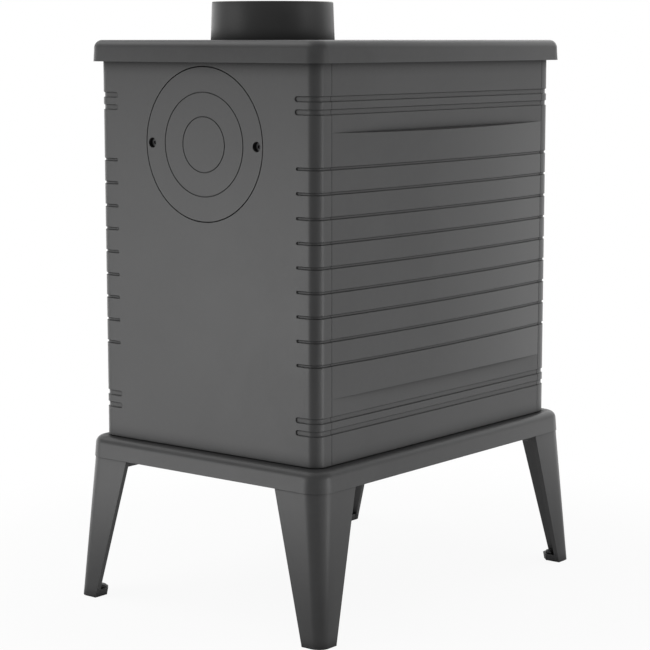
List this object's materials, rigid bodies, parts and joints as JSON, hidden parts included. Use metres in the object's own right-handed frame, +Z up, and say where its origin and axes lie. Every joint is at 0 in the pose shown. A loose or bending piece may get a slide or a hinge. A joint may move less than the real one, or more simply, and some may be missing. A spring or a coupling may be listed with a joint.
{
  "type": "wood stove",
  "caption": "Box-shaped cast-iron wood stove on splayed legs, with grooved bowed sides, a hinged glazed door, an ash drawer, air slides and a top flue collar.",
  "frame": {"origin": "on the floor under the feet, at the centre of the whole stove's bounding box, hearth lip included", "axes": "+Z up, the door faces -Y, the rear plate with the round cover faces +Y, the hinges are on the -X side"},
  "size_m": [0.3952, 0.5816, 0.745],
  "materials": {
    "painted_iron": "matt charcoal stove paint over a fine sand-cast skin",
    "inner_iron": "bare cast iron, dry and slightly sooted",
    "steel_fasteners": "blackened steel fasteners",
    "bright_steel": "satin turned steel knobs and pins",
    "drawer_steel": "folded steel sheet, dull",
    "firebrick": "matt fired clay brick",
    "rope": "woven heat-proof fibre",
    "glass": "clear ceramic glass",
    "grip": "matt black moulded grip"
  },
  "bodies": {
    "stove": {"base_frame": "painted_iron", "leg_front_left": "painted_iron", "leg_front_right": "painted_iron", "leg_rear_left": "painted_iron", "leg_rear_right": "painted_iron", "leg_bolts": "steel_fasteners", "left_side_plate": "painted_iron", "right_side_plate": "painted_iron", "rear_plate": "painted_iron", "front_plate": "painted_iron", "top_plate": "painted_iron", "tie_rods": "steel_fasteners", "tie_rod_nuts": "steel_fasteners", "flue_collar": "painted_iron", "collar_seal": "rope", "collar_bolts": "steel_fasteners", "rear_flue_cover": "painted_iron", "cover_seal": "rope", "cover_screws": "steel_fasteners", "fire_floor": "inner_iron", "grate": "inner_iron", "left_firebricks": "firebrick", "right_firebricks": "firebrick", "rear_firebricks": "firebrick", "baffle_plate": "inner_iron", "log_guard": "inner_iron", "hearth_lip": "painted_iron", "hearth_lip_bolts": "steel_fasteners", "hinge_pins": "bright_steel", "airwash_screws": "steel_fasteners"},
    "door": {"door_frame": "painted_iron", "door_glass": "glass", "glass_seal": "rope", "glass_clips": "steel_fasteners", "clip_screws": "steel_fasteners", "door_rope_seal": "rope"},
    "door_latch": {"latch_spindle": "steel_fasteners", "latch_cam": "inner_iron", "cam_nut": "steel_fasteners", "door_handle": "painted_iron", "handle_grip": "grip"},
    "airwash_control": {"airwash_slide": "painted_iron", "airwash_knob": "bright_steel"},
    "ash_drawer": {"ash_drawer": "drawer_steel", "drawer_front": "painted_iron", "drawer_knobs": "bright_steel", "primary_air_screws": "steel_fasteners"},
    "primary_air_control": {"primary_air_slide": "painted_iron", "primary_air_knob": "bright_steel"},
    "levelling_screw_front_left": {"levelling_screw_front_left": "steel_fasteners"},
    "levelling_screw_front_right": {"levelling_screw_front_right": "steel_fasteners"},
    "levelling_screw_rear_left": {"levelling_screw_rear_left": "steel_fasteners"},
    "levelling_screw_rear_right": {"levelling_screw_rear_right": "steel_fasteners"}
  },
  "joints": [
    {"name": "door_hinge", "type": "hinge", "parent": "stove", "child": "door", "pos_m": [-0.144, -0.2363, 0.463], "axis": [0, 0, -1], "range_deg": [0, 110]},
    {"name": "door_latch_turn", "type": "hinge", "parent": "door", "child": "door_latch", "pos_m": [0.105, -0.2434, 0.463], "axis": [0, 1, 0], "range_deg": [0, 90]},
    {"name": "airwash_shift", "type": "slide", "parent": "stove", "child": "airwash_control", "axis": [1, 0, 0], "range_m": [0, 0.013]},
    {"name": "ash_drawer_pull", "type": "slide", "parent": "stove", "child": "ash_drawer", "axis": [0, -1, 0], "range_m": [0, 0.3]},
    {"name": "primary_air_shift", "type": "slide", "parent": "ash_drawer", "child": "primary_air_control", "axis": [1, 0, 0], "range_m": [0, 0.013]},
    {"name": "levelling_screw_front_left_turn", "type": "hinge", "parent": "stove", "child": "levelling_screw_front_left", "pos_m": [-0.1786, -0.2324, 0.01], "axis": [0, 0, 1], "continuous": true},
    {"name": "levelling_screw_front_right_turn", "type": "hinge", "parent": "stove", "child": "levelling_screw_front_right", "pos_m": [0.1786, -0.2324, 0.01], "axis": [0, 0, 1], "continuous": true},
    {"name": "levelling_screw_rear_left_turn", "type": "hinge", "parent": "stove", "child": "levelling_screw_rear_left", "pos_m": [-0.1786, 0.2718, 0.01], "axis": [0, 0, 1], "continuous": true},
    {"name": "levelling_screw_rear_right_turn", "type": "hinge", "parent": "stove", "child": "levelling_screw_rear_right", "pos_m": [0.1786, 0.2718, 0.01], "axis": [0, 0, 1], "continuous": true}
  ]
}
